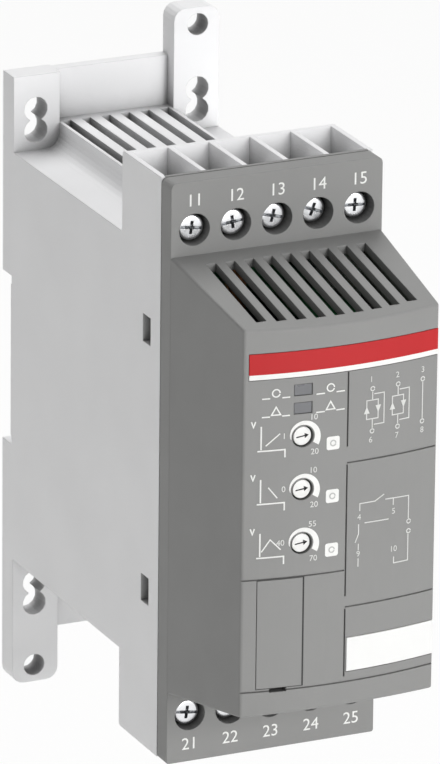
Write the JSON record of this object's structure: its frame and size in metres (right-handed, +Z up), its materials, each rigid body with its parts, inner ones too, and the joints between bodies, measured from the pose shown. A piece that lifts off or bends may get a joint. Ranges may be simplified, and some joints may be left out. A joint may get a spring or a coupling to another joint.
{
  "type": "soft starter",
  "caption": "Compact motor soft starter with screw terminals, setting dials and a vented front, for a rail or a wall",
  "frame": {"origin": "middle of the floor of the rail recess in the back, where the 35 mm rail bears", "axes": "+X to the right seen from the front, -Y towards the front, +Z up"},
  "size_m": [0.045, 0.114, 0.14],
  "materials": {
    "housing_plastic": "fine matt, light grey",
    "cover_plastic": "fine matt, mid grey",
    "red_strip": "printed red with a white lower line",
    "white_label": "smooth white",
    "dial_plastic": "smooth white",
    "light_pipe": "smoked, unlit",
    "black_plastic": "fine matt, black",
    "spring_steel": "drawn wire",
    "zinc_steel": "zinc plated",
    "copper": "rolled copper",
    "aluminium": "extruded",
    "board": "solder mask on glass laminate",
    "transformer_laminate": "varnished core and winding"
  },
  "bodies": {
    "housing": {"rear_housing": "housing_plastic", "front_cover": "cover_plastic", "title_strip": "red_strip", "marking_label": "white_label", "connector_socket": "black_plastic", "latch_spring": "spring_steel", "heat_sink": "aluminium", "power_board": "board", "control_board": "board", "transformer": "transformer_laminate", "through_bar": "copper", "light_pipe_ready": "light_pipe", "light_pipe_run": "light_pipe", "thyristor_1": "black_plastic", "bypass_relay_1": "black_plastic", "thyristor_2": "black_plastic", "bypass_relay_2": "black_plastic", "terminal_cage_1": "zinc_steel", "terminal_cage_2": "zinc_steel", "terminal_cage_3": "zinc_steel", "terminal_cage_4": "zinc_steel", "terminal_cage_5": "zinc_steel", "terminal_cage_6": "zinc_steel", "terminal_cage_7": "zinc_steel", "terminal_cage_8": "zinc_steel", "terminal_cage_9": "zinc_steel", "terminal_cage_10": "zinc_steel", "contact_bar_1": "copper", "contact_bar_2": "copper", "contact_bar_4": "copper", "contact_bar_5": "copper", "contact_bar_6": "copper", "contact_bar_7": "copper", "contact_bar_9": "copper", "contact_bar_10": "copper"},
    "foot_1": {"clamp_foot_1": "zinc_steel"},
    "screw_1": {"terminal_screw_1": "zinc_steel"},
    "foot_2": {"clamp_foot_2": "zinc_steel"},
    "screw_2": {"terminal_screw_2": "zinc_steel"},
    "foot_3": {"clamp_foot_3": "zinc_steel"},
    "screw_3": {"terminal_screw_3": "zinc_steel"},
    "foot_4": {"clamp_foot_4": "zinc_steel"},
    "screw_4": {"terminal_screw_4": "zinc_steel"},
    "foot_5": {"clamp_foot_5": "zinc_steel"},
    "screw_5": {"terminal_screw_5": "zinc_steel"},
    "foot_6": {"clamp_foot_6": "zinc_steel"},
    "screw_6": {"terminal_screw_6": "zinc_steel"},
    "foot_7": {"clamp_foot_7": "zinc_steel"},
    "screw_7": {"terminal_screw_7": "zinc_steel"},
    "foot_8": {"clamp_foot_8": "zinc_steel"},
    "screw_8": {"terminal_screw_8": "zinc_steel"},
    "foot_9": {"clamp_foot_9": "zinc_steel"},
    "screw_9": {"terminal_screw_9": "zinc_steel"},
    "foot_10": {"clamp_foot_10": "zinc_steel"},
    "screw_10": {"terminal_screw_10": "zinc_steel"},
    "dial_start_ramp": {"dial_start_ramp": "dial_plastic"},
    "dial_stop_ramp": {"dial_stop_ramp": "dial_plastic"},
    "dial_start_voltage": {"dial_start_voltage": "dial_plastic"},
    "latch": {"din_latch": "black_plastic"},
    "lid": {"connector_cover": "cover_plastic"}
  },
  "joints": [
    {"name": "foot_1_slide", "type": "slide", "parent": "housing", "child": "foot_1", "axis": [0, 1, 0], "range_m": [-0.0005, 0.0049]},
    {"name": "screw_1_turn", "type": "hinge", "parent": "foot_1", "child": "screw_1", "pos_m": [-0.01754, -0.0778, 0.051], "axis": [0, 1, 0], "range_deg": [-301, 2941]},
    {"name": "foot_2_slide", "type": "slide", "parent": "housing", "child": "foot_2", "axis": [0, 1, 0], "range_m": [-0.0006, 0.0048]},
    {"name": "screw_2_turn", "type": "hinge", "parent": "foot_2", "child": "screw_2", "pos_m": [-0.00877, -0.0778, 0.051], "axis": [0, 1, 0], "range_deg": [-361, 2881]},
    {"name": "foot_3_slide", "type": "slide", "parent": "housing", "child": "foot_3", "axis": [0, 1, 0], "range_m": [-0.0011, 0.0043]},
    {"name": "screw_3_turn", "type": "hinge", "parent": "foot_3", "child": "screw_3", "pos_m": [0, -0.0778, 0.051], "axis": [0, 1, 0], "range_deg": [-661, 2581]},
    {"name": "foot_4_slide", "type": "slide", "parent": "housing", "child": "foot_4", "axis": [0, 1, 0], "range_m": [-0.0016, 0.0038]},
    {"name": "screw_4_turn", "type": "hinge", "parent": "foot_4", "child": "screw_4", "pos_m": [0.00877, -0.0778, 0.051], "axis": [0, 1, 0], "range_deg": [-962, 2281]},
    {"name": "foot_5_slide", "type": "slide", "parent": "housing", "child": "foot_5", "axis": [0, 1, 0], "range_m": [-0.001, 0.0044]},
    {"name": "screw_5_turn", "type": "hinge", "parent": "foot_5", "child": "screw_5", "pos_m": [0.01754, -0.0778, 0.051], "axis": [0, 1, 0], "range_deg": [-601, 2641]},
    {"name": "foot_6_slide", "type": "slide", "parent": "housing", "child": "foot_6", "axis": [0, 1, 0], "range_m": [-0.0005, 0.0049]},
    {"name": "screw_6_turn", "type": "hinge", "parent": "foot_6", "child": "screw_6", "pos_m": [-0.01754, -0.0778, -0.0494], "axis": [0, 1, 0], "range_deg": [-301, 2941]},
    {"name": "foot_7_slide", "type": "slide", "parent": "housing", "child": "foot_7", "axis": [0, 1, 0], "range_m": [-0.0006, 0.0048]},
    {"name": "screw_7_turn", "type": "hinge", "parent": "foot_7", "child": "screw_7", "pos_m": [-0.00877, -0.0778, -0.0494], "axis": [0, 1, 0], "range_deg": [-361, 2881]},
    {"name": "foot_8_slide", "type": "slide", "parent": "housing", "child": "foot_8", "axis": [0, 1, 0], "range_m": [-0.0011, 0.0043]},
    {"name": "screw_8_turn", "type": "hinge", "parent": "foot_8", "child": "screw_8", "pos_m": [0, -0.0778, -0.0494], "axis": [0, 1, 0], "range_deg": [-661, 2581]},
    {"name": "foot_9_slide", "type": "slide", "parent": "housing", "child": "foot_9", "axis": [0, 1, 0], "range_m": [-0.0016, 0.0038]},
    {"name": "screw_9_turn", "type": "hinge", "parent": "foot_9", "child": "screw_9", "pos_m": [0.00877, -0.0778, -0.0494], "axis": [0, 1, 0], "range_deg": [-962, 2281]},
    {"name": "foot_10_slide", "type": "slide", "parent": "housing", "child": "foot_10", "axis": [0, 1, 0], "range_m": [-0.001, 0.0044]},
    {"name": "screw_10_turn", "type": "hinge", "parent": "foot_10", "child": "screw_10", "pos_m": [0.01754, -0.0778, -0.0494], "axis": [0, 1, 0], "range_deg": [-601, 2641]},
    {"name": "dial_start_ramp_turn", "type": "hinge", "parent": "housing", "child": "dial_start_ramp", "pos_m": [-0.0088, -0.1079, 0.018], "axis": [0, 1, 0], "range_deg": [-225, 45]},
    {"name": "dial_stop_ramp_turn", "type": "hinge", "parent": "housing", "child": "dial_stop_ramp", "pos_m": [-0.0088, -0.1079, 0.0072], "axis": [0, 1, 0], "range_deg": [-225, 45]},
    {"name": "dial_start_voltage_turn", "type": "hinge", "parent": "housing", "child": "dial_start_voltage", "pos_m": [-0.0088, -0.1079, -0.0038], "axis": [0, 1, 0], "range_deg": [-225, 45]},
    {"name": "latch_slide", "type": "slide", "parent": "housing", "child": "latch", "axis": [0, 0, -1], "range_m": [0, 0.003], "stiffness_N_per_m": 400, "deforming": ["latch_spring"]},
    {"name": "lid_pull", "type": "slide", "parent": "housing", "child": "lid", "axis": [0, -1, 0], "range_m": [0, 0.015]}
  ],
  "couplings": [
    {"joint": "screw_1_turn", "follows": "foot_1_slide", "rad_per_m": 10472},
    {"joint": "screw_2_turn", "follows": "foot_2_slide", "rad_per_m": 10472},
    {"joint": "screw_3_turn", "follows": "foot_3_slide", "rad_per_m": 10472},
    {"joint": "screw_4_turn", "follows": "foot_4_slide", "rad_per_m": 10472},
    {"joint": "screw_5_turn", "follows": "foot_5_slide", "rad_per_m": 10472},
    {"joint": "screw_6_turn", "follows": "foot_6_slide", "rad_per_m": 10472},
    {"joint": "screw_7_turn", "follows": "foot_7_slide", "rad_per_m": 10472},
    {"joint": "screw_8_turn", "follows": "foot_8_slide", "rad_per_m": 10472},
    {"joint": "screw_9_turn", "follows": "foot_9_slide", "rad_per_m": 10472},
    {"joint": "screw_10_turn", "follows": "foot_10_slide", "rad_per_m": 10472}
  ]
}
